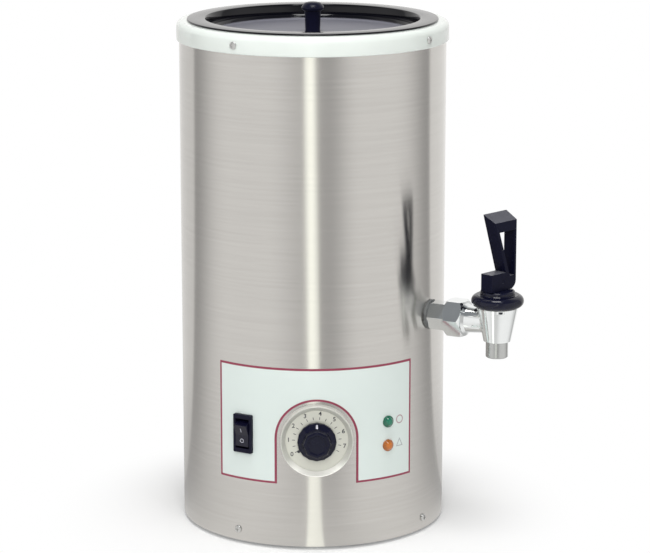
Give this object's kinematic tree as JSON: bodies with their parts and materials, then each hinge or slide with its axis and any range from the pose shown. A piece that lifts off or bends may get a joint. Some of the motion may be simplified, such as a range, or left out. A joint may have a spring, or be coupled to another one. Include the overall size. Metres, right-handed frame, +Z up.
{
  "type": "paraffin wax dispenser",
  "caption": "Tall heated round wax pot with a lift-off dished lid, front control panel with dial, rocker switch and lamps, and a side lever tap.",
  "frame": {"origin": "centre of the cylinder on the resting plane, in the face the rubber ring rests on", "axes": "+Z up along the cylinder axis, -Y out of the middle of the control panel, +X to the right seen from the front; the tap stands 60 degrees from -Y towards +X"},
  "size_m": [0.281, 0.2499, 0.4357],
  "materials": {
    "brushed_shell": "vertical satin brushed",
    "tank_steel": "spun satin",
    "collar_white": "gloss enamel",
    "lid_black": "gloss black",
    "knob_black": "black phenolic",
    "fastener_steel": "zinc plated",
    "pan_steel": "galvanised sheet",
    "heater_metal": "mica band",
    "strap_steel": "bare strap",
    "wool": "glass wool blanket",
    "foot_rubber": "moulded",
    "seat_silicone": "silicone seat",
    "overlay": "printed polyester",
    "dial_cream": "satin",
    "phenolic": "moulded",
    "rocker_black": "gloss black",
    "terminal_nylon": "nylon",
    "lens_green": "clear tinted lens",
    "lens_amber": "clear tinted lens",
    "lamp_holder": "nylon",
    "copper": "bright",
    "brass": "bare",
    "wire_red": "silicone sleeve",
    "tap_chrome": "mirror plated",
    "stem_steel": "turned"
  },
  "bodies": {
    "housing": {"outer_shell": "brushed_shell", "top_collar": "collar_white", "collar_screws": "fastener_steel", "inner_tank": "tank_steel", "tank_outlet": "tank_steel", "band_heater": "heater_metal", "heater_straps": "strap_steel", "floor_heater": "heater_metal", "limit_thermostat": "phenolic", "insulation_blanket": "wool", "tank_cradle": "pan_steel", "base_plate": "pan_steel", "base_screws": "fastener_steel", "rubber_ring": "foot_rubber", "ring_screws": "fastener_steel", "panel_overlay": "overlay", "dial_bezel": "dial_cream", "thermostat_body": "phenolic", "thermostat_screws": "fastener_steel", "thermostat_spacer": "pan_steel", "capillary_line": "copper", "sensor_bulb": "copper", "bulb_clips": "fastener_steel", "switch_frame": "phenolic", "switch_terminals": "brass", "lamp_lens_green": "lens_green", "lamp_lens_amber": "lens_amber", "lamp_body_green": "lamp_holder", "lamp_body_amber": "lamp_holder", "cord_gland": "phenolic", "gland_nut": "phenolic", "terminal_block": "terminal_nylon", "terminal_screws": "fastener_steel", "ground_stud": "brass", "lead_wires": "wire_red", "tap_gasket": "foot_rubber", "tap_shank": "tap_chrome", "lock_nut": "tap_chrome", "coupling_nut": "tap_chrome", "tap_body": "tap_chrome", "tap_spout": "tap_chrome", "tap_bonnet": "knob_black"},
    "lid": {"lid_pan": "lid_black", "lid_knob": "knob_black", "lid_knob_screw": "fastener_steel", "lid_knob_washer": "fastener_steel"},
    "dial": {"dial_knob": "knob_black", "thermostat_shaft": "fastener_steel"},
    "rocker": {"switch_rocker": "rocker_black"},
    "tap_valve": {"tap_stem": "stem_steel", "seat_cup": "seat_silicone", "handle_pin": "fastener_steel", "tap_spring": "strap_steel"},
    "tap_lever": {"tap_handle": "knob_black"}
  },
  "joints": [
    {"name": "lid_lift", "type": "slide", "parent": "housing", "child": "lid", "axis": [0, 0, 1], "range_m": [0, 0.06]},
    {"name": "thermostat_turn", "type": "hinge", "parent": "housing", "child": "dial", "pos_m": [0, -0.11, 0.0936], "axis": [0, -1, 0], "range_deg": [-116, 118]},
    {"name": "power_rocker", "type": "hinge", "parent": "housing", "child": "rocker", "pos_m": [-0.05718, -0.09044, 0.0952], "axis": [-0.8453, 0.5344, 0], "range_deg": [0, 20]},
    {"name": "tap_stem_lift", "type": "slide", "parent": "housing", "child": "tap_valve", "axis": [0, 0, 1], "range_m": [0, 0.00539], "deforming": ["tap_spring"]},
    {"name": "tap_lever_tilt", "type": "hinge", "parent": "tap_valve", "child": "tap_lever", "pos_m": [0.1474, -0.0851, 0.2193], "axis": [-0.6884, 0.7254, 0], "range_deg": [0, 35], "stiffness_Nm_per_rad": 0.08, "springref_deg": -28.65}
  ],
  "couplings": [
    {"joint": "tap_stem_lift", "follows": "tap_lever_tilt", "m_per_rad": 0.0088}
  ]
}
